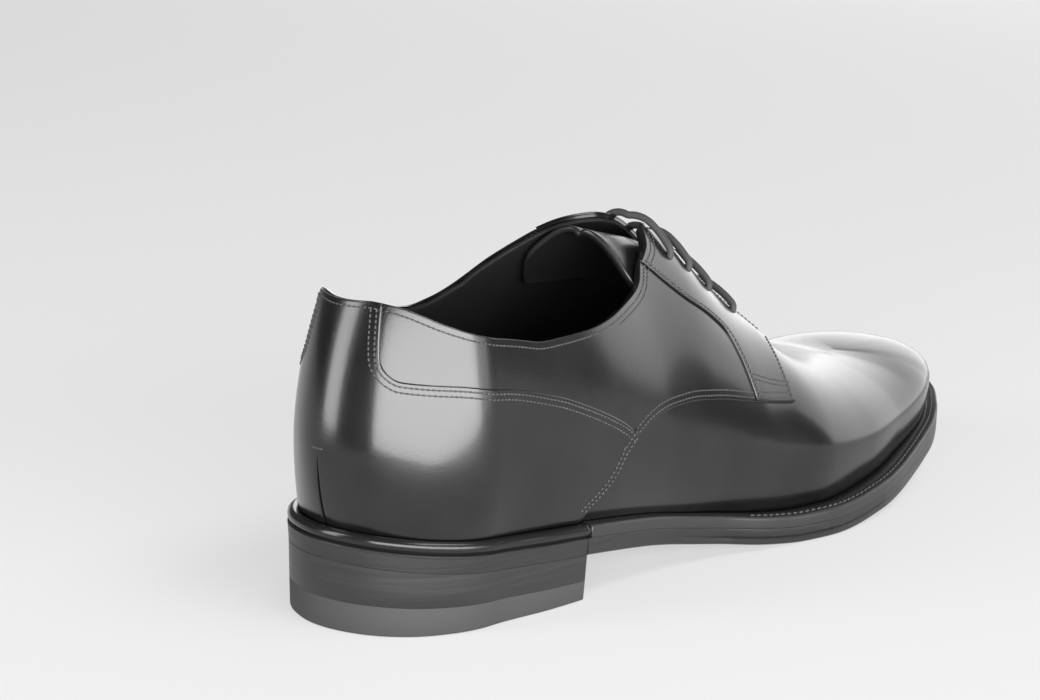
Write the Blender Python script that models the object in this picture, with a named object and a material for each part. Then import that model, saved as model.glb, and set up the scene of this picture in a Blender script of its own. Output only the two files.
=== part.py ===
"""A right derby shoe: a leather upper on a welted leather sole with a stacked heel.

Every size is in millimetres and MM turns it into Blender's metres.
The shoe points along +X, its inner side is +Y and it stands on Z = 0.
"""
import bmesh
import bpy
import numpy as np

MM = 0.001

# Driving sizes of the shoe
LENGTH = 296.0          # sole, from the heel's back to the toe
BALL_WIDTH = 100.0      # sole, across the ball
INSTEP_HEIGHT = 100.0   # what the last's heights are shares of
HEEL_RISE = 20.7        # underside of the outsole over the floor, at the back
TOE_SPRING = 16.0       # underside of the outsole over the floor, at the toe
BREAST = 73.5           # heel's front face, from the heel's back

# Thicknesses and clearances
GAP = 0.3               # between pieces that meet
WELD = 0.02             # points this close are one
SLIVER = 0.01           # the same after a union
WALL = 1.7              # vamp leather with its lining
QUARTER_STEP = 0.8      # the quarters lie this much over the vamp
OVERLAY_STEP = 0.7      # counter and facings lie this much over the quarters
TONGUE = 2.0
TONGUE_CLEARANCE = 0.8
OUTSOLE = 5.1
WELT = 3.8              # welt and heel rand
INSOLE_RISE = 0.8       # top of the insole over the upper's lower edge
LACE = 2.3              # diameter
LACE_SAG = 2.4          # a bar of the lace comes this much nearer the last's ridge between the facings

# Sole edge
GROOVE_HEIGHT = 2.4     # from the outsole's underside to the line along its edge
GROOVE_DEPTH = 0.6
GROOVE_HALF = 0.5
EDGE_ROUND = 0.8        # rounding of the sole's corners
HEEL_INSET = 0.5        # the heel stands back from the sole's edge
HEEL_TAPER = 0.8        # and narrows this much more down to the floor
TOP_PIECE_BACK = 9.0
TOP_PIECE_FRONT = 5.9

# The last, a row for each section from the heel's back to the toe's tip. "along" is a share of LENGTH,
# "turn" is the section's direction in degrees (180 looks back, 90 sideways, 0 forward), widths are shares
# of BALL_WIDTH and heights of INSTEP_HEIGHT over the feather line, where upper and sole meet.
LAST_COLUMNS = ("name", "along", "turn", "reach out", "reach in", "belly out", "belly in",
                "belly height", "ridge", "round out", "round in", "edge out", "edge in")
LAST = [
    ("heel back", .125, 180, .320, .320, .042, .042, .24, 1.04, 1.60, 1.60, .050, .050),
    ("heel back side", .125, 157, .320, .310, .034, .026, .24, 1.05, 1.65, 1.65, .047, .048),
    ("heel corner", .125, 135, .320, .297, .028, .012, .23, 1.07, 1.70, 1.70, .040, .044),
    ("heel corner side", .125, 112, .317, .293, .028, .012, .22, 1.08, 1.75, 1.75, .035, .043),
    ("heel side", .125, 90, .317, .297, .030, .018, .22, 1.09, 1.75, 1.75, .037, .043),
    ("seat front", .209, 90, .337, .307, .028, .024, .20, 1.06, 1.70, 1.75, .043, .045),
    ("breast", .290, 90, .347, .282, .030, .035, .19, .99, 1.65, 1.75, .040, .040),
    ("waist", .372, 90, .346, .252, .035, .050, .20, .89, 1.57, 1.68, .036, .030),
    ("instep", .453, 90, .360, .250, .040, .060, .21, .85, 1.53, 1.60, .045, .030),
    ("throat", .534, 90, .400, .300, .035, .050, .20, .695, 1.54, 1.60, .066, .035),
    ("ball", .622, 90, .445, .380, .025, .030, .16, .505, 1.70, 1.65, .066, .050),
    ("vamp", .703, 90, .425, .435, .020, .020, .13, .36, 1.80, 1.75, .069, .063),
    ("toe root", .777, 90, .375, .440, .015, .015, .11, .27, 1.90, 1.85, .065, .070),
    ("toe side", .825, 80, .324, .412, .012, .012, .10, .222, 2.00, 2.00, .050, .068),
    ("toe corner side", .838, 62, .305, .392, .010, .010, .095, .215, 1.95, 1.95, .045, .063),
    ("toe corner", .838, 42, .3205, .384, .008, .008, .09, .215, 1.90, 1.90, .042, .066),
    ("toe front side", .838, 21, .353, .383, .006, .006, .085, .215, 1.82, 1.82, .0545, .078),
    ("toe tip", .838, 0, .380, .380, .005, .005, .08, .215, 1.80, 1.80, .084, .084),
]
BELLY_RUN = 0.22        # the part of a section's run that lies below its widest point
HEEL_ROWS = 5           # "along" and "turn" run straight up to this row and are smooth past it

# Underside of the outsole: along (share of LENGTH), share of HEEL_RISE, share of TOE_SPRING
UNDERSIDE = [
    (0.000, 1.000, 0.000), (0.118, 0.810, 0.000), (0.243, 0.676, 0.000), (0.338, 0.512, 0.000),
    (0.439, 0.251, 0.000), (0.520, 0.060, 0.000), (0.568, 0.000, 0.000), (0.622, 0.000, 0.000),
    (0.709, 0.000, 0.130), (0.811, 0.000, 0.388), (0.912, 0.000, 0.712), (1.000, 0.000, 1.000),
]

# Edges of the upper's panels: section, run from the feather line (0) to the ridge (1)
TOPLINE_OUT = [(0, .528), (0.7, .526), (1.36, .517), (1.85, .506), (2.77, .479), (3.72, .459), (4.26, .452),
               (4.65, .452), (5.08, .463), (5.55, .483), (6.06, .517), (6.57, .575), (7.03, .645), (7.27, .71),
               (7.59, .776), (7.86, .885)]
TOPLINE_IN = [(0, .528), (0.7, .526), (1.36, .518), (2.0, .498), (2.8, .472), (3.7, .45), (4.3, .44),
              (5.2, .446), (5.55, .467), (6.01, .521), (6.4, .60), (6.66, .665), (6.88, .73), (7.1, .79),
              (7.37, .85), (7.61, .895), (7.86, .915)]
FACING_TIP = 7.86       # section of the facings' upper corners
FACING_FRONT = [(FACING_TIP, .895), (8.2, .905), (8.6, .905), (8.9, .90), (9.2, .87), (9.44, .83),
                (9.58, .795), (9.68, .755), (9.75, .72)]
SLOT_END = 9.4          # section where the vamp closes under the facings
SLOT_CLOSING = [(8.9, .90), (9.1, .925), (9.25, .955), (SLOT_END, 1.0)]
QUARTER_FRONT = [(0, .015), (5.47, .015), (5.74, .085), (5.96, .147), (6.18, .232), (6.42, .282),
                 (6.69, .32), (6.98, .347), (7.27, .363), (7.56, .375), (7.98, .382), (8.49, .394),
                 (8.95, .413), (9.42, .438), (9.46, .52), (9.53, .60), (9.66, .69), (9.75, .73)]
COUNTER_TOP = [(1.13, .53), (1.16, .45), (1.2, .417), (1.36, .394), (1.68, .38), (2.19, .378), (2.97, .376),
               (3.89, .367), (4.55, .363), (4.91, .359), (5.35, .347), (5.76, .332), (6.1, .313), (6.35, .29)]
FACING_SEAM = [(7.28, .712), (7.39, .695), (7.69, .653), (8.0, .622), (8.37, .606), (8.55, .592),
               (8.63, .56), (8.67, .50), (8.7, .404), (8.95, .413), (9.42, .438), (9.46, .52), (9.53, .60),
               (9.66, .69), (9.75, .73)]
RIM_DROP = 0.006        # an overlay's edge ends this run below the collar's
FOOT_CUT = 0.07         # sections by which an overlay stops short of the facings' pointed foot
TONGUE_TOP = 7.05       # section of the tongue's upper edge, in the middle
TONGUE_LEAN = {-1: 0.12, 1: -0.42}      # how many sections further forward it lies at the outer and inner end
TONGUE_FOOT = 9.9       # section where it ends under the vamp
TONGUE_SIDE = [(6.9, .58), (7.5, .62), (8.2, .67), (9.0, .72), (9.9, .80)]
TONGUE_CORNER = 0.25    # sections that the top edge drops by at its two corners
TONGUE_SINK = 6.0       # the tongue is this much flatter than the last's ridge at its upper edge
LACE_RUN = 0.75         # run of the lace holes
LACE_HOLES = [(7.98, 7.92), (8.35, 8.28), (8.76, 8.69), (9.24, 9.17)]   # outer and inner section of a bar

COLOURS = {             # colour, roughness
    "upper": ((.012, .012, .013), .22),
    "tongue": ((.016, .016, .017), .35),
    "insole": ((.030, .028, .026), .70),
    "welt": ((.012, .012, .012), .50),
    "heel_rand": ((.012, .012, .012), .30),
    "outsole": ((.025, .025, .026), .55),
    "heel_block": ((.035, .035, .037), .50),
    "top_piece": ((.022, .022, .023), .65),
    "lace": ((.018, .018, .019), .60),
}


def glide(knots, values, where, flat_ends=False):
    """Smooth curve through the knots that doesn't overshoot them."""
    knots = np.asarray(knots, float)
    values = np.asarray(values, float)
    span = np.diff(knots)
    slope = np.diff(values) / span
    same = slope[1:] * slope[:-1] > 0
    mean = 2 * slope[1:] * slope[:-1] / np.where(same, slope[1:] + slope[:-1], 1)
    ends = 0 if flat_ends else 1
    tangent = np.concatenate([slope[:1] * ends, np.where(same, mean, 0), slope[-1:] * ends])
    i = np.clip(np.searchsorted(knots, where, side="right") - 1, 0, len(span) - 1)
    s = (where - knots[i]) / span[i]
    rise = 3 * s ** 2 - 2 * s ** 3
    start = (s ** 3 - 2 * s ** 2 + s) * span[i] * tangent[i]
    end = (s ** 3 - s ** 2) * span[i] * tangent[i + 1]
    return values[i] + (values[i + 1] - values[i]) * rise + start + end


def line(table, section):
    """Run of a panel's edge at a section, straight between the table's points."""
    return np.interp(section, [row[0] for row in table], [row[1] for row in table])


def column(name, section):
    values = [row[LAST_COLUMNS.index(name)] for row in LAST]
    return glide(np.arange(len(LAST)), values, section, flat_ends=True)


def course(name, section):
    """The columns "along" and "turn", which place and aim a section."""
    values = [row[LAST_COLUMNS.index(name)] for row in LAST]
    rows = np.arange(len(LAST))
    straight = np.interp(section, rows, values)
    return np.where(np.asarray(section) < HEEL_ROWS, straight, glide(rows, values, section))


def sided(name, section, side):
    """Column of the outer (side -1) or inner (side +1) half of the shoe, as a length."""
    return column(name + (" out" if side < 0 else " in"), section)


def underside(x):
    """Height of the outsole's underside over the floor."""
    along, heel, toe = np.array(UNDERSIDE).T
    return glide(along, heel * HEEL_RISE + toe * TOE_SPRING, np.clip(x / LENGTH, 0, 1))


def feather(x):
    """Height of the line where the upper meets the sole."""
    return underside(x) + OUTSOLE + WELT + 2 * GAP


def spine(section):
    return course("along", section) * LENGTH


def last_point(section, run, side):
    """Point of the vamp's outer surface, from the feather line (run 0) to the ridge (run 1)."""
    section = np.asarray(section, float)
    run = np.asarray(run, float)
    reach = sided("reach", section, side) * BALL_WIDTH
    belly = sided("belly", section, side) * BALL_WIDTH
    power = 2 / sided("round", section, side)
    widest = column("belly height", section) * INSTEP_HEIGHT
    ridge = column("ridge", section) * INSTEP_HEIGHT
    low = np.clip(run / BELLY_RUN, 0, 1)
    arc = np.clip((run - BELLY_RUN) / (1 - BELLY_RUN), 0, 1) * np.pi / 2
    cosine = np.clip(np.cos(arc), 0, 1) ** power
    sine = np.sin(arc) ** power
    inward = np.where(run < BELLY_RUN, -belly * (1 - (1 - low) ** 2), -belly + (reach + belly) * (1 - cosine))
    height = np.where(run < BELLY_RUN, widest * low, widest + (ridge - widest) * sine)
    turn = np.radians(course("turn", section))
    middle = spine(section)
    x = middle + np.cos(turn) * (reach - inward)
    y = side * np.sin(turn) * (reach - inward)
    share = np.clip(inward / reach, 0, 1)
    base = feather(middle + np.cos(turn) * reach) * (1 - share) + feather(middle) * share
    return np.stack([x, y, height + base], -1)


def last_normal(section, run, side):
    """Outward direction of the last's surface."""
    step = 0.004
    section = np.asarray(section, float)
    run = np.clip(np.asarray(run, float), step, 1 - 2 * step)
    last_row = len(LAST) - 1
    along = (last_point(np.minimum(section + step, last_row), run, side)
             - last_point(np.maximum(section - step, 0), run, side))
    up = last_point(section, run + step, side) - last_point(section, run - step, side)
    normal = np.cross(up, along) * side
    return normal / np.maximum(np.linalg.norm(normal, axis=-1, keepdims=True), 1e-9)


def skin(section, run, side, out):
    """Point of a layer that lies a distance out from the last's surface."""
    section, run = np.broadcast_arrays(np.asarray(section, float), np.asarray(run, float))
    normal = last_normal(section, run, side)
    middle = (run > 0.999) | (section < 0.001) | (section > len(LAST) - 1.001)
    normal[..., 1] = np.where(middle, 0, normal[..., 1])
    normal /= np.linalg.norm(normal, axis=-1, keepdims=True)
    return last_point(section, run, side) + out * normal


def sole_point(section, side, radius, rise):
    """Point at a radius from the spine, at a height over the feather line."""
    turn = np.radians(course("turn", section))
    x = spine(section) + np.cos(turn) * radius
    return np.array([x, side * np.sin(turn) * radius, feather(x) + rise])


def reach(section, side):
    return sided("reach", section, side) * BALL_WIDTH


def edge(section, side):
    """Radius of the sole's edge."""
    return reach(section, side) + sided("edge", section, side) * BALL_WIDTH


def section_at(x):
    """Section whose spine point lies at x, between the heel's and the toe's fans."""
    rows = np.linspace(4, 13, 91)
    return float(np.interp(x, spine(rows), rows))


def centre_of_box():
    """Middle of the shoe's outline, seen from above."""
    sections = np.linspace(0, len(LAST) - 1, 400)
    points = [sole_point(s, side, edge(s, side), 0) for side in (-1, 1) for s in sections]
    points.append(skin(0, BELLY_RUN, 1, QUARTER_STEP + OVERLAY_STEP))
    points = np.array(points)
    return (points.min(axis=0) + points.max(axis=0)) / 2 * (1, 1, 0)


def stations(first, last, step=0.5, extra=()):
    """Sections from first to last at even steps, with a few more between them."""
    count = max(1, round((last - first) / step))
    even = np.linspace(first, last, count + 1)
    more = [value for value in extra if first < value < last]
    keep = [value for value in even if all(abs(value - other) > 0.08 for other in more)]
    return np.array(sorted(set(keep) | set(more) | {first, last}))


# Blender objects

def clear_scene():
    for item in list(bpy.data.objects):
        bpy.data.objects.remove(item, do_unlink=True)


def collection(name):
    group = bpy.data.collections.new(name)
    bpy.context.scene.collection.children.link(group)
    return group


def material(name):
    key = "lace" if name.startswith("lace") else name
    colour, roughness = COLOURS[key]
    result = bpy.data.materials.new(key)
    result.use_nodes = True
    shader = result.node_tree.nodes["Principled BSDF"]
    shader.inputs["Base Color"].default_value = (*colour, 1)
    shader.inputs["Roughness"].default_value = roughness
    shader.inputs["Metallic"].default_value = 0
    return result


def clean(mesh, weld):
    """Welds points that meet, drops slivers and turns the faces out."""
    shape = bmesh.new()
    shape.from_mesh(mesh)
    bmesh.ops.remove_doubles(shape, verts=shape.verts, dist=weld * MM)
    bmesh.ops.dissolve_degenerate(shape, edges=shape.edges, dist=weld * MM / 4)
    bmesh.ops.recalc_face_normals(shape, faces=shape.faces)
    shape.to_mesh(mesh)
    shape.free()


def make_object(name, points, faces, group):
    """Mesh object from points in the shoe's own millimetres."""
    mesh = bpy.data.meshes.new(name)
    moved = (np.asarray(points) - centre_of_box()) * MM
    mesh.from_pydata(moved.tolist(), [], faces)
    clean(mesh, WELD)
    result = bpy.data.objects.new(name, mesh)
    group.objects.link(result)
    return result


def finish(piece):
    piece.data.materials.clear()
    piece.data.materials.append(material(piece.name))
    piece.data.shade_smooth()
    piece.data.set_sharp_from_angle(angle=np.radians(35))
    return piece


class Sheets:
    """Grids of points and the faces between them, gathered into one mesh."""

    def __init__(self):
        self.points = []
        self.faces = []

    def grid(self, rows):
        """Adds a grid of points and its faces, and returns the points' numbers."""
        rows = np.asarray(rows)
        start = len(self.points)
        self.points.extend(rows.reshape(-1, 3))
        numbers = start + np.arange(rows.shape[0] * rows.shape[1]).reshape(rows.shape[:2])
        self.bridge_grid(numbers)
        return numbers

    def bridge_grid(self, numbers):
        for i in range(numbers.shape[0] - 1):
            self.bridge(numbers[i], numbers[i + 1])

    def bridge(self, one, other):
        """Faces between two rows of point numbers."""
        for k in range(len(one) - 1):
            self.faces.append((int(one[k]), int(one[k + 1]), int(other[k + 1]), int(other[k])))


def layer(sheets, sections, low, high, side, out, rows):
    """One surface of a panel: a grid over sections, between its lower and upper edges."""
    share = np.linspace(0, 1, rows + 1)
    grid = [skin(s, low[i] + (high[i] - low[i]) * share, side, out) for i, s in enumerate(sections)]
    return sheets.grid(grid)


def panel(name, sections, low, high, outer, inner, rows, group, closed_top=None):
    """Closed shell between two layers on both halves of the shoe, joined at the back and at the ridge.

    low and high give each half's edges, closed_top says where a section runs up to the ridge.
    """
    sheets = Sheets()
    for side in (-1, 1):
        outside = layer(sheets, sections, low[side], high[side], side, outer, rows)
        inside = layer(sheets, sections, low[side], high[side], side, inner, rows)
        sheets.bridge(outside[:, 0], inside[:, 0])
        open_top = np.ones(len(sections), bool) if closed_top is None else ~closed_top
        for i in range(len(sections) - 1):
            if open_top[i] or open_top[i + 1]:
                sheets.bridge(outside[i:i + 2, -1], inside[i:i + 2, -1])
        for end in (0, -1):
            on_middle = sections[end] < 0.001 or sections[end] > len(LAST) - 1.001
            if not on_middle:
                sheets.bridge(outside[end], inside[end])
    return make_object(name, sheets.points, sheets.faces, group)


def join(target, addition):
    """Boolean union of a second solid into the first, which replaces its mesh."""
    union = target.modifiers.new("join", "BOOLEAN")
    union.operation = "UNION"
    union.solver = "EXACT"
    union.object = addition
    evaluated = target.evaluated_get(bpy.context.evaluated_depsgraph_get())
    mesh = bpy.data.meshes.new_from_object(evaluated)
    target.modifiers.clear()
    clean(mesh, SLIVER)
    target.data = mesh
    bpy.data.objects.remove(addition, do_unlink=True)


def rim_runs(sections, side, drop):
    """Collar and then the facing's front edge, less a drop that keeps an overlay short of the rim."""
    collar = TOPLINE_OUT if side < 0 else TOPLINE_IN
    return np.where(sections <= FACING_TIP, line(collar, sections), line(FACING_FRONT, sections)) - drop


def topline(sections, side):
    """Upper edge of the upper: collar, then the slot between the facings, then the closed vamp."""
    runs = np.where(sections > SLOT_CLOSING[0][0], line(SLOT_CLOSING, sections), rim_runs(sections, side, 0))
    return np.where(sections >= SLOT_END, 1.0, runs)


def build_upper(group):
    """Vamp and lining as one shell, with quarters, counter and facings as steps in its wall."""
    knots = [row[0] for row in TOPLINE_OUT[-3:]] + [row[0] for row in SLOT_CLOSING] + [0, len(LAST) - 1]
    sections = stations(0, len(LAST) - 1, 0.5, knots)
    low = {side: np.zeros(len(sections)) for side in (-1, 1)}
    high = {side: topline(sections, side) for side in (-1, 1)}
    upper = panel("upper", sections, low, high, 0, -WALL, 12, group, closed_top=sections >= SLOT_END - 1e-6)
    for addition in (build_quarters(group), build_counter(group), build_facings(group)):
        join(upper, addition)
    return upper


def build_quarters(group):
    knots = [row[0] for row in QUARTER_FRONT] + [row[0] for row in FACING_FRONT]
    sections = stations(0, QUARTER_FRONT[-1][0] - FOOT_CUT, 0.5, knots)
    low = {side: line(QUARTER_FRONT, sections) for side in (-1, 1)}
    high = {side: rim_runs(sections, side, RIM_DROP) for side in (-1, 1)}
    return panel("quarters", sections, low, high, QUARTER_STEP, -WALL * 0.5, 9, group)


def build_counter(group):
    sections = stations(0, COUNTER_TOP[-1][0], 0.5, [row[0] for row in COUNTER_TOP] + [5.46, 5.94])
    behind = sections < COUNTER_TOP[0][0] + 1e-6
    low = {side: line(QUARTER_FRONT, sections) + 0.008 for side in (-1, 1)}
    high = {side: np.where(behind, rim_runs(sections, side, 2 * RIM_DROP), line(COUNTER_TOP, sections))
            for side in (-1, 1)}
    for side in (-1, 1):
        high[side] = np.maximum(high[side], low[side] + 0.01)
    return panel("counter", sections, low, high, QUARTER_STEP + OVERLAY_STEP, QUARTER_STEP * 0.3, 8, group)


def build_facings(group):
    first = FACING_SEAM[0][0]
    knots = [row[0] for row in FACING_SEAM + FACING_FRONT]
    sections = stations(first, FACING_SEAM[-1][0] - 1.5 * FOOT_CUT, 0.5, knots)
    low = {side: line(FACING_SEAM, sections) + 0.01 for side in (-1, 1)}
    high = {side: np.maximum(rim_runs(sections, side, 2 * RIM_DROP), low[side] + 0.01) for side in (-1, 1)}
    return panel("facings", sections, low, high, QUARTER_STEP + OVERLAY_STEP, QUARTER_STEP * 0.3, 5, group)


def tongue_sink(section, run):
    """How much lower than the last's form the tongue lies. It's flatter at the top."""
    middle = np.clip((run - 0.55) / 0.45, 0, 1) ** 2
    high = np.clip((TONGUE_FOOT - section) / (TONGUE_FOOT - TONGUE_TOP), 0, 1)
    return TONGUE_SINK * middle * high


def build_tongue(group):
    """Tongue under the facings, from under the vamp up to just short of the collar's height."""
    depth = WALL + TONGUE_CLEARANCE
    sheets = Sheets()
    share = np.linspace(0, 1, 9)
    down = np.linspace(0, 1, 9)
    for side in (-1, 1):
        layers = []
        for out in (-depth, -depth - TONGUE):
            rows = []
            for d in down:
                end = TONGUE_LEAN[side] * (1 - share) ** 2 + TONGUE_CORNER * np.clip(1 - 4 * share, 0, 1) ** 2
                sections = TONGUE_TOP + (TONGUE_FOOT - TONGUE_TOP) * d + end * (1 - d)
                runs = line(TONGUE_SIDE, sections) * (1 - share) + share
                row = skin(sections, runs, side, out)
                row[:, 2] -= tongue_sink(sections, runs)
                rows.append(row)
            layers.append(sheets.grid(rows))
        outside, inside = layers
        for k in (0, -1):
            sheets.bridge(outside[k], inside[k])
        sheets.bridge(outside[:, 0], inside[:, 0])
    return make_object("tongue", sheets.points, sheets.faces, group)


def slab(name, sections, rim, group, flat_front=False):
    """Plate across the sole. rim(section, side) gives its edge from top to bottom as (radius, height)."""
    sheets = Sheets()
    shares = (0, 0.5, 1)
    for side in (-1, 1):
        rims = [rim(s, side) for s in sections]
        top = sheets.grid([[level_point(s, side, r[0][0] * k, r[0][1]) for k in shares]
                           for s, r in zip(sections, rims)])
        bottom = sheets.grid([[level_point(s, side, r[-1][0] * k, r[-1][1]) for k in shares]
                              for s, r in zip(sections, rims)])
        sheets.grid([[level_point(s, side, radius, level) for radius, level in r]
                     for s, r in zip(sections, rims)])
        if flat_front:
            front = [level_point(sections[-1], side, radius, level) for radius, level in rims[-1]]
            start = len(sheets.points)
            sheets.points.extend(front)
            outline = [int(n) for n in top[-1][:-1]]
            outline += [start + k for k in range(len(front))]
            outline += [int(n) for n in bottom[-1][-2::-1]]
            sheets.faces.append(tuple(outline))
    return make_object(name, sheets.points, sheets.faces, group)


def level_point(section, side, radius, level):
    """Point of a plate: level is a function of x that gives the height there."""
    point = sole_point(section, side, radius, 0)
    point[2] = level(point[0])
    return point


def over_feather(rise):
    return lambda x: feather(x) + rise


def build_insole(group):
    """Insole with its filler, inside the upper and the welt."""
    bottom = over_feather(-WELT - GAP)
    top = over_feather(INSOLE_RISE)

    def rim(section, side):
        radius = reach(section, side) - WALL - GAP - 0.15
        return [(radius, top), (radius, bottom)]
    return slab("insole", stations(0, len(LAST) - 1, 0.5), rim, group)


def build_outsole(group):
    """Outsole with the line that runs low along its edge."""
    thickness = WELT + 2 * GAP + OUTSOLE

    def rim(section, side):
        radius = edge(section, side)
        return [(radius - EDGE_ROUND * 0.4, over_feather(-WELT - 2 * GAP)),
                (radius, over_feather(-WELT - 2 * GAP - EDGE_ROUND * 0.5)),
                (radius, over_feather(-thickness + GROOVE_HEIGHT + GROOVE_HALF)),
                (radius - GROOVE_DEPTH, over_feather(-thickness + GROOVE_HEIGHT)),
                (radius, over_feather(-thickness + GROOVE_HEIGHT - GROOVE_HALF)),
                (radius, over_feather(-thickness + EDGE_ROUND)),
                (radius - EDGE_ROUND, over_feather(-thickness))]
    sections = stations(0, len(LAST) - 1, 0.5, [section_at(BREAST)])
    return slab("outsole", sections, rim, group)


def strip(name, stops, profile, group):
    """Strip round the shoe: a profile of (radius, rise) swept through stops of (section, side)."""
    sheets = Sheets()
    rings = []
    for section, side in stops:
        ring = [sole_point(section, side, radius, rise) for radius, rise in profile(section, side)]
        rings.append(ring + ring[:1])
    numbers = sheets.grid(rings)
    for end in (0, -1):
        sheets.faces.append(tuple(int(n) for n in numbers[end][:-1]))
    return make_object(name, sheets.points, sheets.faces, group)


def build_welt(group):
    """Welt from the heel's front, round the toe and back, flat on top."""
    start = section_at(BREAST) + 0.06

    def profile(section, side):
        inner = reach(section, side) - WALL
        outer = edge(section, side)
        return [(inner, -GAP), (outer - EDGE_ROUND, -GAP), (outer, -GAP - EDGE_ROUND),
                (outer, -GAP - WELT + EDGE_ROUND * 0.5), (outer - EDGE_ROUND * 0.4, -GAP - WELT),
                (inner, -GAP - WELT)]
    run = stations(start, len(LAST) - 1, 0.5)
    stops = [(s, -1) for s in run] + [(s, 1) for s in run[-2::-1]]
    return strip("welt", stops, profile, group)


def build_rand(group):
    """Rounded bead round the heel seat."""
    end = section_at(BREAST) + 0.06 - GAP / (spine(6) - spine(5))
    bead = np.radians([80, 50, 20, -10, -40])

    def profile(section, side):
        inner = reach(section, side) - WALL
        outer = edge(section, side)
        half = WELT / 2
        arc = [(outer - half + half * np.cos(a), -GAP - half + half * np.sin(a)) for a in bead]
        return [(inner, -GAP)] + arc + [(outer - EDGE_ROUND, -GAP - WELT), (inner, -GAP - WELT)]
    run = stations(0, end, 0.5)
    stops = [(s, -1) for s in run[::-1]] + [(s, 1) for s in run[1:]]
    return strip("heel_rand", stops, profile, group)


def build_heel(group):
    """Heel block and top piece, with a flat breast."""
    front = section_at(BREAST)
    sections = stations(0, front, 0.5)

    def seam(x):
        return TOP_PIECE_BACK + (TOP_PIECE_FRONT - TOP_PIECE_BACK) * x / BREAST

    def radius(section, side, share):
        return edge(section, side) - HEEL_INSET - HEEL_TAPER * share

    def block_rim(section, side):
        return [(radius(section, side, 0), lambda x: underside(x) - GAP),
                (radius(section, side, 0.5), lambda x: seam(x) + GAP)]

    def piece_rim(section, side):
        return [(radius(section, side, 0.5), seam), (radius(section, side, 1), lambda x: 0 * x)]
    return [slab("heel_block", sections, block_rim, group, flat_front=True),
            slab("top_piece", sections, piece_rim, group, flat_front=True)]


def build_lace(number, holes, group):
    """Bar of the lace from hole to hole, on the facings and then straight across to the other side."""
    clear = QUARTER_STEP + OVERLAY_STEP + LACE / 2 + GAP + 0.1
    route = []
    for k in np.linspace(-1, 1, 13):
        side = -1 if k < 0 else 1
        share = 1 - abs(k)
        section = holes[0] + (holes[1] - holes[0]) * (k + 1) / 2
        run = LACE_RUN + (1 - LACE_RUN) * share
        between = np.clip((run - 0.89) / 0.11, 0, 1)
        route.append(skin(section, run, side, clear - LACE_SAG * between))
    curve = bpy.data.curves.new(f"lace_bar_{number}", "CURVE")
    curve.dimensions = "3D"
    curve.bevel_depth = LACE / 2 * MM
    curve.bevel_resolution = 2
    curve.use_fill_caps = True
    spline = curve.splines.new("POLY")
    spline.points.add(len(route) - 1)
    for point, place in zip(spline.points, (np.array(route) - centre_of_box()) * MM):
        point.co = (*place, 1)
    bar = bpy.data.objects.new(f"lace_bar_{number}", curve)
    group.objects.link(bar)
    curve.materials.append(material("lace"))
    return bar


def main():
    clear_scene()
    group = collection("derby_shoe")
    pieces = [build_upper(group), build_tongue(group), build_insole(group), build_outsole(group),
              build_welt(group), build_rand(group), *build_heel(group)]
    for piece in pieces:
        finish(piece)
    for number, holes in enumerate(LACE_HOLES, 1):
        build_lace(number, holes, group)


main()
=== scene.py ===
"""Looks of a right derby shoe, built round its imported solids.

Sizes are in millimetres in the shoe's own frame: x from the heel's back to the toe, y to the inner side,
z up from the floor. A point of the upper is given by its section (0 at the heel's back, 17 at the toe's tip)
and its run (0 at the feather line, where upper and sole meet, 1 at the ridge).
"""
import math

import bmesh
import bpy
import numpy as np
from mathutils import Matrix, Vector
from mathutils.geometry import delaunay_2d_cdt


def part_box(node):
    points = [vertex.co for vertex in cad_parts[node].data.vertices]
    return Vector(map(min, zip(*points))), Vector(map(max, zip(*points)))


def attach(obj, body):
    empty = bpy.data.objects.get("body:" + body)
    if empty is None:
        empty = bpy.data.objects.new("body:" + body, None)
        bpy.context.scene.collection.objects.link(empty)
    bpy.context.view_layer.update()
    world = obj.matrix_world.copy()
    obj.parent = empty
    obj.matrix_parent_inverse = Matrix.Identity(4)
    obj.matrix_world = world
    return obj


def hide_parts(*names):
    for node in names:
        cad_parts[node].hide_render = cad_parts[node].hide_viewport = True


bl_info = {
    "name": "Derby Shoe",
    "version": (1, 0, 0),
    "blender": (4, 5, 0),
    "location": "View3D > Sidebar > Derby",
    "description": "Dresses the solids of a right derby shoe in polished calf",
    "category": "Object",
}

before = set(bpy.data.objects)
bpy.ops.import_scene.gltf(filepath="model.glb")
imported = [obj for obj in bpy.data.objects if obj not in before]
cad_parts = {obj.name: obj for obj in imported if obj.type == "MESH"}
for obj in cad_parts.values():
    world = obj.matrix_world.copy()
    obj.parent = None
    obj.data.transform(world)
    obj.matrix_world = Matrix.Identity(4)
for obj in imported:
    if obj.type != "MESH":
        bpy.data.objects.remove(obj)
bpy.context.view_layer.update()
MM = 0.001

LENGTH = 296.0
BALL_WIDTH = 100.0
INSTEP_HEIGHT = 100.0
HEEL_RISE = 20.7
TOE_SPRING = 16.0
BREAST = 73.5
GAP = 0.3
WALL = 1.7
QUARTER_STEP = 0.8
OVERLAY_STEP = 0.7
TONGUE = 2.0
TONGUE_CLEARANCE = 0.8
OUTSOLE = 5.1
WELT = 3.8
GROOVE_HEIGHT = 2.4
GROOVE_DEPTH = 0.6
HEEL_INSET = 0.5
HEEL_TAPER = 0.8
TOP_PIECE_BACK = 9.0
TOP_PIECE_FRONT = 5.9

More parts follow.
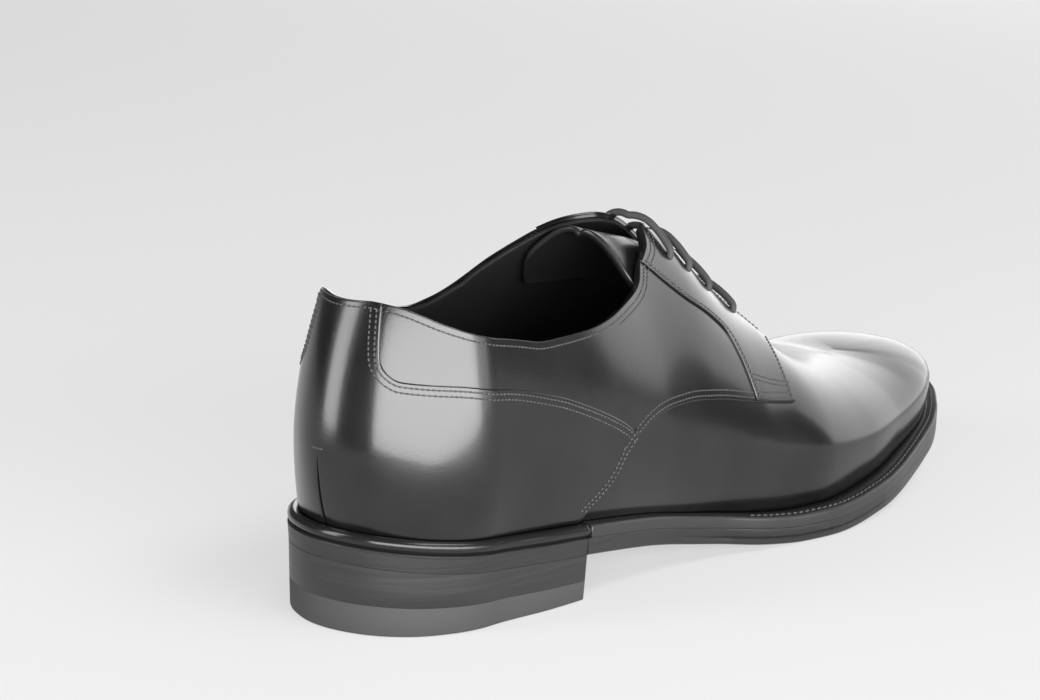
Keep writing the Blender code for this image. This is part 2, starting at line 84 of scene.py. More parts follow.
LAST_COLUMNS = ("name", "along", "turn", "reach out", "reach in", "belly out", "belly in",
                "belly height", "ridge", "round out", "round in", "edge out", "edge in")
LAST = [
    ("heel back", .125, 180, .320, .320, .042, .042, .24, 1.04, 1.60, 1.60, .050, .050),
    ("heel back side", .125, 157, .320, .310, .034, .026, .24, 1.05, 1.65, 1.65, .047, .048),
    ("heel corner", .125, 135, .320, .297, .028, .012, .23, 1.07, 1.70, 1.70, .040, .044),
    ("heel corner side", .125, 112, .317, .293, .028, .012, .22, 1.08, 1.75, 1.75, .035, .043),
    ("heel side", .125, 90, .317, .297, .030, .018, .22, 1.09, 1.75, 1.75, .037, .043),
    ("seat front", .209, 90, .337, .307, .028, .024, .20, 1.06, 1.70, 1.75, .043, .045),
    ("breast", .290, 90, .347, .282, .030, .035, .19, .99, 1.65, 1.75, .040, .040),
    ("waist", .372, 90, .346, .252, .035, .050, .20, .89, 1.57, 1.68, .036, .030),
    ("instep", .453, 90, .360, .250, .040, .060, .21, .85, 1.53, 1.60, .045, .030),
    ("throat", .534, 90, .400, .300, .035, .050, .20, .695, 1.54, 1.60, .066, .035),
    ("ball", .622, 90, .445, .380, .025, .030, .16, .505, 1.70, 1.65, .066, .050),
    ("vamp", .703, 90, .425, .435, .020, .020, .13, .36, 1.80, 1.75, .069, .063),
    ("toe root", .777, 90, .375, .440, .015, .015, .11, .27, 1.90, 1.85, .065, .070),
    ("toe side", .825, 80, .324, .412, .012, .012, .10, .222, 2.00, 2.00, .050, .068),
    ("toe corner side", .838, 62, .305, .392, .010, .010, .095, .215, 1.95, 1.95, .045, .063),
    ("toe corner", .838, 42, .3205, .384, .008, .008, .09, .215, 1.90, 1.90, .042, .066),
    ("toe front side", .838, 21, .353, .383, .006, .006, .085, .215, 1.82, 1.82, .0545, .078),
    ("toe tip", .838, 0, .380, .380, .005, .005, .08, .215, 1.80, 1.80, .084, .084),
]
TOE = len(LAST) - 1
BELLY_RUN = 0.22
HEEL_ROWS = 5

UNDERSIDE = [
    (0.000, 1.000, 0.000), (0.118, 0.810, 0.000), (0.243, 0.676, 0.000), (0.338, 0.512, 0.000),
    (0.439, 0.251, 0.000), (0.520, 0.060, 0.000), (0.568, 0.000, 0.000), (0.622, 0.000, 0.000),
    (0.709, 0.000, 0.130), (0.811, 0.000, 0.388), (0.912, 0.000, 0.712), (1.000, 0.000, 1.000),
]

# Edges of the panels: section, run
TOPLINE_OUT = [(0, .528), (0.7, .526), (1.36, .517), (1.85, .506), (2.77, .479), (3.72, .459), (4.26, .452),
               (4.65, .452), (5.08, .463), (5.55, .483), (6.06, .517), (6.57, .575), (7.03, .645),
               (7.27, .71), (7.59, .776), (7.86, .885)]
TOPLINE_IN = [(0, .528), (0.7, .526), (1.36, .518), (2.0, .498), (2.8, .472), (3.7, .45), (4.3, .44),
              (5.2, .446), (5.55, .467), (6.01, .521), (6.4, .60), (6.66, .665), (6.88, .73), (7.1, .79),
              (7.37, .85), (7.61, .895), (7.86, .915)]
FACING_FRONT = [(8.2, .905), (8.6, .905), (8.9, .90), (9.2, .87), (9.44, .83), (9.58, .795), (9.68, .755),
                (9.75, .72)]
SLOT_CLOSING = [(8.9, .90), (9.1, .925), (9.25, .955), (9.4, 1.0)]
SLOT_START = SLOT_CLOSING[0][0]
SLOT_END = SLOT_CLOSING[-1][0]
QUARTER_FRONT = [(5.45, .0), (5.47, .015), (5.74, .085), (5.96, .147), (6.18, .232), (6.42, .282),
                 (6.69, .32), (6.98, .347), (7.27, .363), (7.56, .375), (7.98, .382), (8.49, .394),
                 (8.95, .413), (9.42, .438), (9.46, .52), (9.53, .60), (9.66, .69), (9.75, .72)]
QUARTER_FOOT = QUARTER_FRONT[0][0]
FRONT_CORNER = 13       # row of QUARTER_FRONT where the facings' foot begins
VAMP_BACK = 5.2         # section where the vamp ends under the quarters
COUNTER_TOP = [(1.13, .519), (1.16, .45), (1.2, .417), (1.36, .394), (1.68, .38), (2.19, .378), (2.97, .376),
               (3.89, .367), (4.55, .363), (4.91, .359), (5.35, .347), (5.76, .332), (6.1, .313), (6.35, .29)]
COUNTER_BACK = COUNTER_TOP[0][0]
COUNTER_FRONT = 6.33
FACING_SEAM_OUT = [(7.28, .712), (7.39, .695), (7.69, .653), (8.0, .622), (8.37, .606), (8.55, .592),
                   (8.63, .56), (8.67, .50), (8.7, .404)]
FACING_SEAM_IN = [(6.88, .73), (7.2, .69), (7.69, .648), (8.0, .622), (8.37, .606), (8.55, .592),
                  (8.63, .56), (8.67, .50), (8.7, .404)]
TONGUE_TOP = 7.05
TONGUE_LEAN = {-1: 0.12, 1: -0.42}
TONGUE_FOOT = 9.9
TONGUE_SIDE = [(6.9, .58), (7.5, .62), (8.2, .67), (9.0, .72), (9.9, .80)]
TONGUE_CORNER = 0.25
TONGUE_SINK = 6.0
LACE_SAG = 2.4
LACE_RUN = 0.75
LACE_HOLES = [(7.98, 7.92), (8.35, 8.28), (8.76, 8.69), (9.24, 9.17)]
HOLE_RADIUS = 1.7
FLOOR_HALF = 3.0        # metres
FLOOR_FRONT = 0.28      # metres from the shoe's middle to the floor's near end
SKY = 0.12              # strength of the light from all round
# Soft boxes: name, azimuth in degrees, distance and height in metres, size, glow, tilt in degrees
SOFT_BOXES = [
    ("wall_box", -28, 1.5, .20, (3.0, 1.1), 13.0, 0),
    ("wall_wing", 24, 1.7, .14, (.4, 1.0), 3.2, 0),
    ("top_box", 12, .72, 1.30, (1.0, .5), 6.5, 61),
    ("heel_strip", -112, 1.0, .42, (.30, 1.0), 9.0, 10),
    ("toe_box", 97, 1.4, .42, (2.6, .85), 2.1, 8),
]
PICTURE = (1040, 700)   # pixels
VIEW_ANGLES = (49.66, 14.26, 2.12)      # degrees: azimuth, elevation, roll
VIEW_DISTANCE = 997.08
VIEW_SCALE = 3.26       # pixels to the millimetre at the pivot
VIEW_PIVOT = (120, 0, 30)
PIVOT_PIXEL = (590.63, 445.21)
SENSOR = 36             # millimetres
RIDGE_ROUND = 0.06      # runs from the ridge over which the surface turns level


# The last's surface

def glide(knots, values, where, flat_ends=False):
    """Smooth curve through the knots that doesn't overshoot them."""
    knots = np.asarray(knots, float)
    values = np.asarray(values, float)
    span = np.diff(knots)
    slope = np.diff(values) / span
    same = slope[1:] * slope[:-1] > 0
    mean = 2 * slope[1:] * slope[:-1] / np.where(same, slope[1:] + slope[:-1], 1)
    ends = 0 if flat_ends else 1
    tangent = np.concatenate([slope[:1] * ends, np.where(same, mean, 0), slope[-1:] * ends])
    i = np.clip(np.searchsorted(knots, where, side="right") - 1, 0, len(span) - 1)
    s = (where - knots[i]) / span[i]
    rise = 3 * s ** 2 - 2 * s ** 3
    start = (s ** 3 - 2 * s ** 2 + s) * span[i] * tangent[i]
    end = (s ** 3 - s ** 2) * span[i] * tangent[i + 1]
    return values[i] + (values[i + 1] - values[i]) * rise + start + end


def line(table, section):
    return np.interp(section, [row[0] for row in table], [row[1] for row in table])


def column(name, section):
    values = [row[LAST_COLUMNS.index(name)] for row in LAST]
    return glide(np.arange(len(LAST)), values, np.clip(section, 0, TOE), flat_ends=True)


def course(name, section):
    """The columns "along" and "turn", which place and aim a section."""
    values = [row[LAST_COLUMNS.index(name)] for row in LAST]
    rows = np.arange(len(LAST))
    straight = np.interp(section, rows, values)
    return np.where(np.asarray(section) < HEEL_ROWS, straight, glide(rows, values, np.clip(section, 0, TOE)))


def sided(name, section, side):
    return np.where(np.asarray(side) < 0, column(name + " out", section), column(name + " in", section))


def underside(x):
    along, heel, toe = np.array(UNDERSIDE).T
    return glide(along, heel * HEEL_RISE + toe * TOE_SPRING, np.clip(x / LENGTH, 0, 1))


def feather(x):
    return underside(x) + OUTSOLE + WELT + 2 * GAP


def spine(section):
    return course("along", section) * LENGTH


def last_point(section, run, side):
    """Point of the vamp's outer surface."""
    reach = sided("reach", section, side) * BALL_WIDTH
    belly = sided("belly", section, side) * BALL_WIDTH
    power = 2 / sided("round", section, side)
    widest = column("belly height", section) * INSTEP_HEIGHT
    ridge = column("ridge", section) * INSTEP_HEIGHT
    low = np.clip(run / BELLY_RUN, 0, 1)
    arc = np.clip((run - BELLY_RUN) / (1 - BELLY_RUN), 0, 1) * np.pi / 2
    cosine = np.clip(np.cos(arc), 0, 1) ** power
    sine = np.sin(arc) ** power
    inward = np.where(run < BELLY_RUN, -belly * (1 - (1 - low) ** 2), -belly + (reach + belly) * (1 - cosine))
    height = np.where(run < BELLY_RUN, widest * low, widest + (ridge - widest) * sine)
    turn = np.radians(course("turn", section))
    middle = spine(section)
    x = middle + np.cos(turn) * (reach - inward)
    y = side * np.sin(turn) * (reach - inward)
    share = np.clip(inward / reach, 0, 1)
    base = feather(middle + np.cos(turn) * reach) * (1 - share) + feather(middle) * share
    return np.stack([x, y, height + base], -1)


def centre_of_box():
    """The shoe's own x of the frame's origin, from the outsole's back end."""
    return -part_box("outsole")[0].x / MM


def reach(section, side):
    return float(sided("reach", section, side)) * BALL_WIDTH


def edge(section, side):
    """Radius of the sole's edge."""
    return reach(section, side) + float(sided("edge", section, side)) * BALL_WIDTH


def sole_point(section, side, radius, rise):
    turn = math.radians(float(course("turn", section)))
    x = float(spine(section)) + math.cos(turn) * radius
    return (x, side * math.sin(turn) * radius, float(feather(x)) + rise)


def section_at(x):
    rows = np.linspace(4, 13, 91)
    return float(np.interp(x, spine(rows), rows))


def unit(vectors):
    return vectors / np.maximum(np.linalg.norm(vectors, axis=-1, keepdims=True), 1e-9)


class Skin:
    """The upper's surface by two numbers.

    Round the shoe they are a signed section (negative on the outer side) and a run. Over the ridge they are
    a section and a signed distance in runs from the ridge, negative on the outer side.
    """

    def __init__(self, over_ridge):
        self.over_ridge = over_ridge

    def base(self, a, b):
        a, b = np.broadcast_arrays(np.asarray(a, float), np.asarray(b, float))
        if self.over_ridge:
            return last_point(a, 1 - np.abs(b), np.where(b < 0, -1, 1))
        return last_point(np.abs(a), b, np.where(a < 0, -1, 1))

    def ways(self, a, b):
        """How a point moves with each of its two numbers."""
        step = 2e-3
        along = (self.base(a + step, b) - self.base(a - step, b)) / (2 * step)
        up = (self.base(a, b + step) - self.base(a, b - step)) / (2 * step)
        return along, up

    def normal(self, a, b):
        along, up = self.ways(np.asarray(a, float), np.asarray(b, float))
        result = unit(np.cross(along, up) if self.over_ridge else np.cross(up, along))
        if self.over_ridge:
            result[..., 1] *= np.clip(np.abs(b) / RIDGE_ROUND, 0, 1)
            result = unit(result)
        return result

    def point(self, a, b, out):
        return self.base(a, b) + np.asarray(out)[..., None] * self.normal(a, b)

    def shift(self, a, b, move):
        """The two numbers after a small move in millimetres along the surface."""
        along, up = self.ways(a, b)
        aa = (along * along).sum(-1)
        bb = (up * up).sum(-1)
        ab = (along * up).sum(-1)
        am = (along * move).sum(-1)
        bm = (up * move).sum(-1)
        det = np.maximum(aa * bb - ab * ab, 1e-6)
        return a + (am * bb - bm * ab) / det, b + (bm * aa - am * ab) / det


ROUND = Skin(over_ridge=False)
OVER = Skin(over_ridge=True)

_MIDWAY = last_point(np.linspace(0, TOE, 400), np.full(400, .3), np.full(400, -1))
_RUNNING = np.concatenate([[0], np.cumsum(np.linalg.norm(np.diff(_MIDWAY, axis=0), axis=1))])
GIRTH = 112.0           # rough millimetres in a whole run, for spacing only


def flat(a, b):
    """Rough millimetres for a pair of surface numbers, for spacing and meshing."""
    x = np.interp(np.abs(a), np.linspace(0, TOE, 400), _RUNNING) * np.sign(a)
    return np.stack([x, np.asarray(b) * GIRTH], -1)


def unflat(points):
    x = points[..., 0]
    return np.interp(np.abs(x), _RUNNING, np.linspace(0, TOE, 400)) * np.sign(x), points[..., 1] / GIRTH


def smooth_path(points, step=1.0, skin=ROUND):
    """Points at even steps in millimetres on a smooth curve through the given pairs."""
    points = np.array(points, float)
    marks = np.concatenate([[0], np.cumsum(np.linalg.norm(np.diff(flat(*points.T), axis=0), axis=1))])
    fine = np.linspace(0, marks[-1], max(8, int(marks[-1] / 0.25)))
    a = glide(marks, points[:, 0], fine)
    b = glide(marks, points[:, 1], fine)
    place = skin.base(a, b)
    far = np.concatenate([[0], np.cumsum(np.linalg.norm(np.diff(place, axis=0), axis=1))])
    count = max(2, round(far[-1] / step) + 1)
    even = np.linspace(0, far[-1], count)
    return np.interp(even, far, a), np.interp(even, far, b)


def tangents(points, closed=False):
    if closed:
        return unit(np.roll(points, -1, axis=0) - np.roll(points, 1, axis=0))
    return unit(np.gradient(points, axis=0))


def to_left(skin, a, b, distance):
    """A path moved to the left of its travel, as seen from outside the shoe."""
    place = skin.base(a, b)
    left = np.cross(skin.normal(a, b), tangents(place))
    return skin.shift(a, b, left * np.asarray(distance)[..., None])


# Meshes

def to_frame(points):
    """The shoe's own millimetres into the frame's metres."""
    return (np.asarray(points, float) - (SHOE_CENTRE, 0, 0)) * MM


def mesh_object(name, points, faces, material):
    mesh = bpy.data.meshes.new(name)
    mesh.from_pydata(to_frame(points).tolist(), [], faces)
    mesh.validate()
    mesh.shade_smooth()
    mesh.materials.append(material)
    result = bpy.data.objects.new(name, mesh)
    bpy.context.scene.collection.objects.link(result)
    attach(result, "root")
    return result


def weld(item, distance=0.02):
    shape = bmesh.new()
    shape.from_mesh(item.data)
    bmesh.ops.remove_doubles(shape, verts=shape.verts, dist=distance * MM)
    bmesh.ops.recalc_face_normals(shape, faces=shape.faces)
    shape.to_mesh(item.data)
    shape.free()


def grid_faces(rows, columns, start=0, closed=False):
    faces = []
    for i in range(rows - 1):
        for k in range(columns if closed else columns - 1):
            here = start + i * columns + k
            there = start + i * columns + (k + 1) % columns
            faces.append((here, there, there + columns, here + columns))
    return faces


def inside(points, loops):
    """Which points lie inside the outline and outside its holes, by counting crossings."""
    result = np.zeros(len(points), bool)
    x, y = points.T
    for loop in loops:
        for (x1, y1), (x2, y2) in zip(loop, np.roll(loop, -1, axis=0)):
            if y1 == y2:
                continue
            crosses = (y1 > y) != (y2 > y)
            at = x1 + (y - y1) * (x2 - x1) / (y2 - y1)
            result ^= crosses & (x < at)
    return result


def leaf(name, skin, outline, out, thickness, material, lip=0.4, spacing=1.8, holes=(), sink=None):
    """Panel of leather with rounded edges, cut along an outline of smooth stretches.

    outline is a list of paths that run anticlockwise round the panel's two numbers, holes are closed loops
    that run clockwise. sink(a, b) drops the surface straight down.
    """
    stretches = [smooth_path(path, 1.0, skin) for path in outline]
    loops = [tuple(np.concatenate([stretch[k][:-1] for stretch in stretches]) for k in (0, 1)), *holes]
    sign = 1 if skin.over_ridge else -1
    points = []
    normals = []
    faces = []
    rims = []
    for a, b in loops:
        place = skin.base(a, b)
        normal = skin.normal(a, b)
        inward = sign * np.cross(normal, tangents(place, closed=True))
        rings = [(0, -thickness, -inward), (0, -lip, -inward), (.29 * lip, -.29 * lip, unit(normal - inward)),
                 (lip, 0, normal)]
        start = len(points)
        for back, down, way in rings:
            ra, rb = skin.shift(a, b, inward * back)
            ring = skin.point(ra, rb, np.full(ra.shape, out + down))
            ring[:, 2] -= sink(ra, rb) if sink else 0
            points.extend(ring)
            normals.extend(way)
        faces += grid_faces(4, len(a), start, closed=True)
        rims.append((start + 3 * len(a), *skin.shift(a, b, inward * lip)))
    flats = [flat(ra, rb) for _, ra, rb in rims]
    low, high = flats[0].min(axis=0), flats[0].max(axis=0)
    grid = []
    for k, y in enumerate(np.arange(low[1], high[1], spacing * .866)):
        xs = np.arange(low[0] + (k % 2) * spacing / 2, high[0], spacing)
        grid.append(np.stack([xs, np.full(len(xs), y)], -1))
    grid = np.concatenate(grid)
    grid = grid[inside(grid, flats)]
    border = np.concatenate(flats)
    near = np.array([np.min(np.sum((border - p) ** 2, axis=1)) for p in grid])
    grid = grid[near > (.62 * spacing) ** 2]
    known = []
    edges = []
    for (first, ra, rb), f in zip(rims, flats):
        begin = len(known)
        known.extend(f)
        edges += [(begin + i, begin + (i + 1) % len(f)) for i in range(len(f))]
    numbers = [first + i for first, ra, _ in rims for i in range(len(ra))]
    made = delaunay_2d_cdt([Vector(p) for p in known + list(grid)], edges, [], 2, 1e-5)
    index = {}
    extra = []
    for k, origins in enumerate(made[3]):
        rim = [o for o in origins if o < len(known)]
        if rim:
            index[k] = numbers[rim[0]]
        else:
            index[k] = len(points) + len(extra)
            extra.append(made[0][k])
    if extra:
        ea, eb = unflat(np.array(extra))
        field = skin.point(ea, eb, np.full(len(ea), out))
        field[:, 2] -= sink(ea, eb) if sink else 0
        points.extend(field)
        normals.extend(skin.normal(ea, eb))
    faces += [tuple(index[k] for k in face) for face in made[2]]
    if not skin.over_ridge:
        faces = [face[::-1] for face in faces]
    result = mesh_object(name, points, faces, material)
    if len(result.data.vertices) == len(normals) and not sink:
        result.data.normals_split_custom_set_from_vertices([tuple(n) for n in np.array(normals)])
    return result


def tube(name, path, radius, material, sides):
    """Round cord along a path, closed at both ends."""
    turn = np.linspace(0, 2 * np.pi, sides, endpoint=False)
    way = tangents(path)
    across = unit(np.cross(way, (0, 1, .3)))
    up = np.cross(across, way)
    ring = np.cos(turn)[None, :, None] * across[:, None] + np.sin(turn)[None, :, None] * up[:, None]
    points = (path[:, None] + radius * ring).reshape(-1, 3)
    last = (len(path) - 1) * sides
    faces = grid_faces(len(path), sides, closed=True)
    faces += [tuple(range(sides - 1, -1, -1)), tuple(range(last, last + sides))]
    return mesh_object(name, points, faces, material)


def hole_shade_plugs(name, rows, reach, material):
    """Painted shade of the needle holes: small near-black closed plugs, half a stitch on from each place of
    the rows, that stand for the shade inside the holes.
    """
    turn = np.linspace(0, 2 * np.pi, 6, endpoint=False)
    points = []
    faces = []
    for place, way, normal in rows:
        for p, t, n in zip((place[1:] + place[:-1]) / 2, way[1:], normal[1:]):
            side = np.cross(n, t)
            start = len(points)
            points.extend(p + reach * (np.cos(c) * t * .8 + np.sin(c) * side) for c in turn)
            points += [p + n * .05, p - n * .4]
            for k in range(6):
                after = start + (k + 1) % 6
                faces += [(start + k, after, start + 6), (after, start + k, start + 7)]
    return mesh_object(name, points, faces, material)


def thread(name, rows, length, thickness, material):
    """Stitches: short sunk lengths of thread at the places of each row, as one mesh."""
    along = np.array([-.5, -.36, 0, .36, .5])
    lift = np.array([-.9, -.05, .2, -.05, -.9])
    girth = np.array([.55, .9, 1, .9, .55])
    turn = np.linspace(0, 2 * np.pi, 6, endpoint=False)
    points = []
    faces = []
    for place, way, normal in rows:
        side = np.cross(normal, way)
        for p, t, n, s in zip(place, way, normal, side):
            start = len(points)
            for x, z, g in zip(along, lift, girth):
                centre = p + t * x * length + n * z * thickness * .5
                for c in turn:
                    points.append(centre + thickness * .5 * g * (np.cos(c) * s + np.sin(c) * n))
            faces += grid_faces(5, 6, start, closed=True)
            faces.append(tuple(range(start + 5, start - 1, -1)))
            faces.append(tuple(range(start + 24, start + 30)))
    return mesh_object(name, points, faces, material)


# Shader

class Wire:
    """A shader socket that takes part in sums."""

    def __init__(self, shade, socket):
        self.shade = shade
        self.socket = socket

    def sum(self, operation, *values):
        return self.shade.node("ShaderNodeMath", {"operation": operation}, dict(enumerate(values)))

    def __add__(self, other):
        return self.sum("ADD", self, other)

    def __sub__(self, other):
        return self.sum("SUBTRACT", self, other)

    def __rsub__(self, other):
        return self.sum("SUBTRACT", other, self)

    def __mul__(self, other):
        return self.sum("MULTIPLY", self, other)

    __radd__ = __add__
    __rmul__ = __mul__

    def part(self, low, high):
        """0 below low, 1 above high, smooth between them."""
        return self.shade.node("ShaderNodeMapRange", {"interpolation_type": "SMOOTHSTEP"},
                               {"Value": self, "From Min": low, "From Max": high})


class Shade:
    """One material's nodes."""

    def __init__(self, name):
        self.material = bpy.data.materials.new(name)
        self.material.use_nodes = True
        self.tree = self.material.node_tree
        self.surface = self.tree.nodes["Principled BSDF"]
        self.place = self.node("ShaderNodeTexCoord", output="Object")

    def node(self, kind, settings=None, inputs=None, output=0):
        made = self.tree.nodes.new(kind)
        for key, value in (settings or {}).items():
            setattr(made, key, value)
        for key, value in (inputs or {}).items():
            self.give(made.inputs[key], value)
        return Wire(self, made.outputs[output])

    def give(self, socket, value):
        if isinstance(value, Wire):
            self.tree.links.new(value.socket, socket)
        elif isinstance(value, (tuple, list)) and len(value) == 3 and socket.type == "RGBA":
            socket.default_value = (*value, 1)
        else:
            socket.default_value = value

    def set(self, **inputs):
        for key, value in inputs.items():
            self.give(self.surface.inputs[key.replace("_", " ")], value)

    def mix(self, share, one, other):
        return self.node("ShaderNodeMix", {"data_type": "RGBA"}, {"Factor": share, 6: one, 7: other}, 2)

    def scaled(self, x, y, z):
        return self.node("ShaderNodeMapping", {}, {"Vector": self.place, "Scale": (x, y, z)})

    def noise(self, scale, detail=2.0, roughness=.5, vector=None):
        return self.node("ShaderNodeTexNoise", {}, {"Vector": vector or self.place, "Scale": scale,
                                                    "Detail": detail, "Roughness": roughness})

    def cells(self, scale):
        return self.node("ShaderNodeTexVoronoi", {"feature": "F1"}, {"Vector": self.place, "Scale": scale})

    def bump(self, height, distance, strength):
        return self.node("ShaderNodeBump", {}, {"Height": height, "Distance": distance, "Strength": strength})


def toned(colour, share):
    return tuple(c * share for c in colour)


def calf_leather(name, colour, roughness, grain=1.0, coat=.4):
    """Smooth calf with pores and a polish that lies a little unevenly."""
    shade = Shade(name)
    pores = shade.cells(1500)
    fine = shade.noise(2600, 3)
    patches = shade.noise(22, 3)
    height = pores * .6 + fine * .5
    tone = shade.noise(60, 4).part(.35, .7)
    shade.set(Base_Color=shade.mix(tone, toned(colour, .75), toned(colour, 1.35)),
              Roughness=roughness + (patches - .5) * .10 + (fine - .5) * .08,
              Normal=shade.bump(height, .00005 * grain, .5), IOR=1.5,
              Specular_IOR_Level=.32, Coat_Weight=coat, Coat_Roughness=.14, Coat_IOR=1.5)
    return shade.material


def plain_leather(name, colour, roughness, grain_size, bump_height):
    shade = Shade(name)
    grain = shade.cells(grain_size)
    fibre = shade.noise(grain_size * 2, 3)
    shade.set(Base_Color=shade.mix(shade.noise(90, 4), toned(colour, .7), toned(colour, 1.4)),
              Roughness=roughness + (fibre - .5) * .2, Specular_IOR_Level=.16,
              Normal=shade.bump(grain + fibre * .6, bump_height, .6))
    return shade.material


def edge_leather(name, colour, roughness, streak):
    """Waxed edge of leather: faint level streaks from trimming, and small pores."""
    shade = Shade(name)
    layers = shade.noise(1, 4, .6, vector=shade.scaled(18, 18, streak))
    pores = shade.noise(900, 3)
    shade.set(Base_Color=shade.mix(layers, toned(colour, .7), toned(colour, 1.3)),
              Roughness=roughness + (layers - .5) * .25,
              Normal=shade.bump(layers * 1.0 + pores * .35, .00012, .5),
              Specular_IOR_Level=.32, Coat_Weight=.05, Coat_Roughness=.25)
    return shade.material


def waxed_cotton(name, colour):
    """Round braided lace: slanting strands both ways."""
    shade = Shade(name)
    one = shade.node("ShaderNodeTexWave", {"wave_type": "BANDS", "bands_direction": "DIAGONAL"},
                     {"Vector": shade.place, "Scale": 480.0, "Distortion": 1.0})
    two = shade.node("ShaderNodeTexWave", {"wave_type": "BANDS", "bands_direction": "X"},
                     {"Vector": shade.place, "Scale": 420.0, "Distortion": 1.0})
    strands = one * two
    shade.set(Base_Color=shade.mix(strands, toned(colour, .5), toned(colour, 1.6)),
              Roughness=.62 - strands * .15, Normal=shade.bump(strands, .00018, .8),
              Sheen_Weight=.15, Sheen_Roughness=.4)
    return shade.material


def waxed_thread(name, colour):
    shade = Shade(name)
    twist = shade.node("ShaderNodeTexWave", {"bands_direction": "DIAGONAL"},
                       {"Vector": shade.place, "Scale": 1400.0})
    shade.set(Base_Color=shade.mix(twist, toned(colour, .6), colour), Roughness=.45,
              Normal=shade.bump(twist, .00006, .6))
    return shade.material


def heel_rubber(name, colour):
    shade = Shade(name)
    grain = shade.noise(700, 3)
    streaks = shade.noise(1, 3, .5, vector=shade.scaled(22, 22, 900))
    shade.set(Base_Color=shade.mix(streaks, toned(colour, .8), toned(colour, 1.25)),
              Roughness=.55 + (streaks - .5) * .2, Specular_IOR_Level=.32,
              Normal=shade.bump(streaks + grain * .5, .0001, .5))
    return shade.material


def floor_paint(name, colour):
    shade = Shade(name)
    shade.set(Base_Color=shade.mix(shade.noise(3, 2), toned(colour, .985), colour), Roughness=.9,
              Specular_IOR_Level=0.0, Emission_Color=(1, 1, 1), Emission_Strength=.54)
    return shade.material


# What a user would change

class DerbySizes(bpy.types.PropertyGroup):
    stitch_length: bpy.props.FloatProperty(name="Stitch length", description="Pitch of the upper's stitches",
                                           default=1.5 * MM, unit="LENGTH")
    thread_thickness: bpy.props.FloatProperty(name="Thread", description="Thickness of the sewing thread",
                                              default=0.55 * MM, unit="LENGTH")
    lace_thickness: bpy.props.FloatProperty(name="Lace", description="Thickness of the round lace",
                                            default=2.3 * MM, unit="LENGTH")
    rib_pitch: bpy.props.FloatProperty(name="Welt rib pitch", default=1.25 * MM, unit="LENGTH",
                                       description="Pitch of the wheel marks on the welt")
    edge_round: bpy.props.FloatProperty(name="Edge rounding", description="Rounding of a panel's folded edge",
                                        default=0.4 * MM, unit="LENGTH")


class DerbyColours(bpy.types.PropertyGroup):
    calf: bpy.props.FloatVectorProperty(name="Calf", description="Colour of the upper", subtype="COLOR",
                                        default=(.0035, .0035, .0038), min=0, max=1)
    lining: bpy.props.FloatVectorProperty(name="Lining", description="Colour of lining and insole",
                                          subtype="COLOR", default=(.0035, .0033, .0032), min=0, max=1)
    sole: bpy.props.FloatVectorProperty(name="Sole", description="Colour of the sole's and heel's edges",
                                        subtype="COLOR", default=(.012, .012, .0125), min=0, max=1)
    lace: bpy.props.FloatVectorProperty(name="Lace", description="Colour of the lace", subtype="COLOR",
                                        default=(.020, .020, .021), min=0, max=1)
    floor: bpy.props.FloatVectorProperty(name="Floor", description="Colour of the floor", subtype="COLOR",
                                         default=(.225, .225, .225), min=0, max=1)
    polish: bpy.props.FloatProperty(name="Polish", description="Roughness of the polished calf", default=.23,
                                    min=0, max=1, subtype="FACTOR")


def finishes():
    """Materials, made once and shared."""
    colours = bpy.context.scene.derby_colours
    if "polished_calf" not in bpy.data.materials:
        calf = tuple(colours.calf)
        calf_leather("polished_calf", calf, colours.polish)
        calf_leather("tongue_calf", calf, colours.polish + .12, 1.3, .3)
        plain_leather("lining_leather", tuple(colours.lining), .6, 900, .00008)
        edge_leather("sole_edge", tuple(colours.sole), .42, 1100)
        edge_leather("welt_leather", toned(colours.sole, .7), .40, 300)
        edge_leather("heel_edge", toned(colours.sole, 1.25), .42, 900)
        heel_rubber("heel_rubber", toned(colours.sole, 1.1))
        waxed_cotton("lace_cotton", tuple(colours.lace))
        waxed_thread("sewing_thread", (.032, .032, .033))
        # painted shade: near-black finish for the plugs that stand for the shade inside the needle holes
        plain_leather("hole_shadow", (.0008, .0008, .0008), .9, 900, .00002)
        edge_leather("rand_polish", toned(colours.sole, .6), .2, 200)
    return bpy.data.materials


# Upper

def signed(path, side):
    return [(side * section, run) for section, run in path]


def backwards(path):
    return list(reversed(path))


def topline(side):
    return TOPLINE_OUT if side < 0 else TOPLINE_IN


def facing_seam(side):
    return FACING_SEAM_OUT if side < 0 else FACING_SEAM_IN


def facing_front(side):
    return topline(side)[-1:] + FACING_FRONT


def lace_holes(side, grow=0.0):
    """Loops of the lace holes, clockwise in the surface's two numbers."""
    loops = []
    for holes in LACE_HOLES:
        section = side * holes[0 if side < 0 else 1]
        turn = np.linspace(0, -2 * np.pi, 18, endpoint=False)
        along, up = ROUND.ways(np.array([section]), np.array([LACE_RUN]))
        move = (HOLE_RADIUS + grow) * (np.cos(turn)[:, None] * unit(along) + np.sin(turn)[:, None] * unit(up))
        loops.append(ROUND.shift(np.full(18, section), np.full(18, LACE_RUN), move))
    return loops


def height_at(section, run, side):
    """How far the upper's outside stands off the vamp's surface."""
    seam = facing_seam(side)
    below = run < line(COUNTER_TOP, section)
    counter = (section < COUNTER_BACK) | (below & (section < COUNTER_FRONT))
    facing = (section > seam[0][0]) & (run > line(seam, section))
    front = (section > QUARTER_FOOT) & (run < line(QUARTER_FRONT, section))
    out = np.where(counter | facing, QUARTER_STEP + OVERLAY_STEP, QUARTER_STEP)
    return np.where(front, 0, out)


